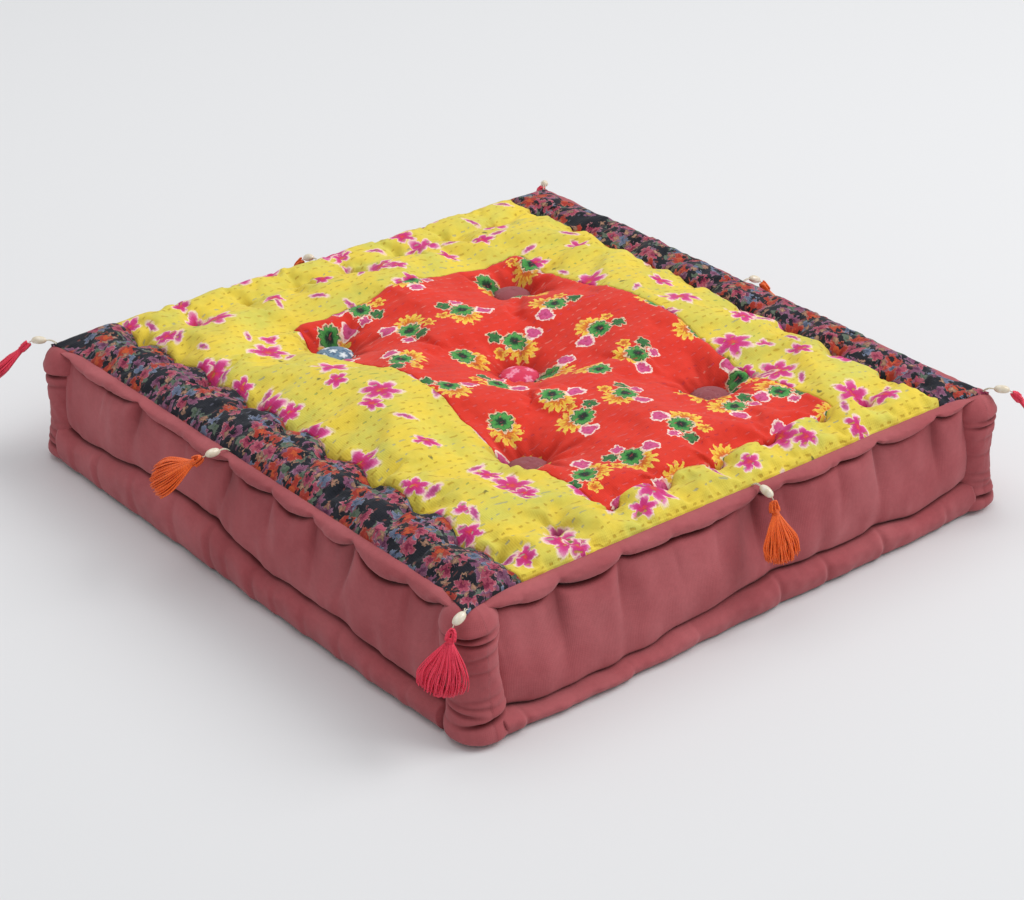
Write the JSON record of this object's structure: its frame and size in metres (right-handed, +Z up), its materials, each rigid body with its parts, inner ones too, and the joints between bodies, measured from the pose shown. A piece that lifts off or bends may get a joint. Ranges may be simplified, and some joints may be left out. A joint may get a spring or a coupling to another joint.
{
  "type": "floor cushion",
  "caption": "Square boxed floor cushion with stuffed edge rolls, a tufted patchwork top, covered buttons and beaded tassels that hang from its top seam",
  "frame": {"origin": "on the floor, under the middle of the cushion", "axes": "+X along the longer sides, +Y across to the back side, +Z up from the floor; the dark border strips run along X at -Y and +Y"},
  "size_m": [0.6958, 0.6778, 0.1301],
  "materials": {
    "rose_cotton": "matt brushed cotton, dusty rose",
    "yellow_print": "quilted cotton, yellow with small pink flowers",
    "red_print": "quilted cotton, red with green and yellow posies",
    "dark_floral": "quilted cotton, dense floral on a dark navy ground",
    "mauve_cotton": "matt cotton over a button, mauve",
    "blue_grey_print": "printed cotton over a button, blue grey and white",
    "pink_print": "printed cotton over a button, pink and red",
    "filling": "loose carded cotton",
    "twine": "waxed upholstery twine",
    "shell_bead": "polished off-white shell",
    "crimson_thread": "cotton floss, crimson pink",
    "orange_thread": "cotton floss, orange"
  },
  "bodies": {
    "cushion": {"cotton_filling": "filling", "front_border": "dark_floral", "yellow_field": "yellow_print", "back_border": "dark_floral", "red_centre_patch": "red_print", "bottom_panel": "rose_cotton", "top_roll_front": "rose_cotton", "bottom_roll_front": "rose_cotton", "side_panel_front": "rose_cotton", "top_roll_right": "rose_cotton", "bottom_roll_right": "rose_cotton", "side_panel_right": "rose_cotton", "top_roll_back": "rose_cotton", "bottom_roll_back": "rose_cotton", "side_panel_back": "rose_cotton", "top_roll_left": "rose_cotton", "bottom_roll_left": "rose_cotton", "side_panel_left": "rose_cotton", "corner_roll_front_left": "rose_cotton", "corner_roll_front_right": "rose_cotton", "corner_roll_back_right": "rose_cotton", "corner_roll_back_left": "rose_cotton", "top_button_middle": "pink_print", "bottom_button_middle": "rose_cotton", "tuft_twine_middle": "twine", "top_button_front_left": "blue_grey_print", "bottom_button_front_left": "rose_cotton", "tuft_twine_front_left": "twine", "top_button_back_left": "mauve_cotton", "bottom_button_back_left": "rose_cotton", "tuft_twine_back_left": "twine", "top_button_back_right": "mauve_cotton", "bottom_button_back_right": "rose_cotton", "tuft_twine_back_right": "twine", "top_button_front_right": "mauve_cotton", "bottom_button_front_right": "rose_cotton", "tuft_twine_front_right": "twine"},
    "bead_front_left": {"shell_bead_front_left": "shell_bead"},
    "tassel_front_left": {"tassel_front_left": "crimson_thread"},
    "bead_front_right": {"shell_bead_front_right": "shell_bead"},
    "tassel_front_right": {"tassel_front_right": "crimson_thread"},
    "bead_back_right": {"shell_bead_back_right": "shell_bead"},
    "tassel_back_right": {"tassel_back_right": "crimson_thread"},
    "bead_back_left": {"shell_bead_back_left": "shell_bead"},
    "tassel_back_left": {"tassel_back_left": "crimson_thread"},
    "bead_front": {"shell_bead_front": "shell_bead"},
    "tassel_front": {"tassel_front": "orange_thread"},
    "bead_right": {"shell_bead_right": "shell_bead"},
    "tassel_right": {"tassel_right": "orange_thread"},
    "bead_back": {"shell_bead_back": "shell_bead"},
    "tassel_back": {"tassel_back": "orange_thread"},
    "bead_left": {"shell_bead_left": "shell_bead"},
    "tassel_left": {"tassel_left": "orange_thread"}
  },
  "joints": [
    {"name": "lift_front_left", "type": "hinge", "parent": "cushion", "child": "bead_front_left", "pos_m": [-0.29853, -0.28853, 0.1123], "axis": [-0.7071, 0.7071, 0], "range_deg": [-47, 103]},
    {"name": "sway_front_left", "type": "hinge", "parent": "bead_front_left", "child": "tassel_front_left", "pos_m": [-0.30884, -0.29884, 0.11154], "axis": [-0.4822, -0.4822, 0.7314], "range_deg": [-60, 60]},
    {"name": "lift_front_right", "type": "hinge", "parent": "cushion", "child": "bead_front_right", "pos_m": [0.29853, -0.28853, 0.1123], "axis": [-0.7071, -0.7071, 0], "range_deg": [-28, 122]},
    {"name": "sway_front_right", "type": "hinge", "parent": "bead_front_right", "child": "tassel_front_right", "pos_m": [0.30118, -0.30212, 0.10767], "axis": [0.6243, -0.6243, 0.4695], "range_deg": [-74, 46]},
    {"name": "lift_back_right", "type": "hinge", "parent": "cushion", "child": "bead_back_right", "pos_m": [0.29853, 0.28853, 0.1123], "axis": [0.7071, -0.7071, 0], "range_deg": [-47, 103]},
    {"name": "sway_back_right", "type": "hinge", "parent": "bead_back_right", "child": "tassel_back_right", "pos_m": [0.30884, 0.29884, 0.11154], "axis": [0.4822, 0.4822, 0.7314], "range_deg": [-60, 60]},
    {"name": "lift_back_left", "type": "hinge", "parent": "cushion", "child": "bead_back_left", "pos_m": [-0.29853, 0.28853, 0.1123], "axis": [0.7071, 0.7071, 0], "range_deg": [-25, 125]},
    {"name": "sway_back_left", "type": "hinge", "parent": "bead_back_left", "child": "tassel_back_left", "pos_m": [-0.30954, 0.29595, 0.10623], "axis": [-0.6409, 0.6409, 0.4226], "range_deg": [-58, 62]},
    {"name": "lift_front", "type": "hinge", "parent": "cushion", "child": "bead_front", "pos_m": [-0.027, -0.28614, 0.1123], "axis": [-1, 0, 0], "range_deg": [-50, 100]},
    {"name": "sway_front", "type": "hinge", "parent": "bead_front", "child": "tassel_front", "pos_m": [-0.027, -0.30074, 0.1123], "axis": [0, -0.6428, 0.766], "range_deg": [-15, 105]},
    {"name": "lift_right", "type": "hinge", "parent": "cushion", "child": "bead_right", "pos_m": [0.29614, 0.014, 0.1123], "axis": [0, -1, 0], "range_deg": [-25, 125]},
    {"name": "sway_right", "type": "hinge", "parent": "bead_right", "child": "tassel_right", "pos_m": [0.30924, 0.01603, 0.10619], "axis": [0.9063, 0, 0.4226], "range_deg": [-55, 65]},
    {"name": "lift_back", "type": "hinge", "parent": "cushion", "child": "bead_back", "pos_m": [0, 0.28614, 0.1123], "axis": [1, 0, 0], "range_deg": [-28, 122]},
    {"name": "sway_back", "type": "hinge", "parent": "bead_back", "child": "tassel_back", "pos_m": [0.00153, 0.2996, 0.10687], "axis": [0, 0.8829, 0.4695], "range_deg": [-58, 62]},
    {"name": "lift_left", "type": "hinge", "parent": "cushion", "child": "bead_left", "pos_m": [-0.29614, 0, 0.1123], "axis": [0, 1, 0], "range_deg": [-32, 118]},
    {"name": "sway_left", "type": "hinge", "parent": "bead_left", "child": "tassel_left", "pos_m": [-0.30997, -0.00127, 0.10781], "axis": [-0.848, 0, 0.5299], "range_deg": [-65, 55]}
  ]
}
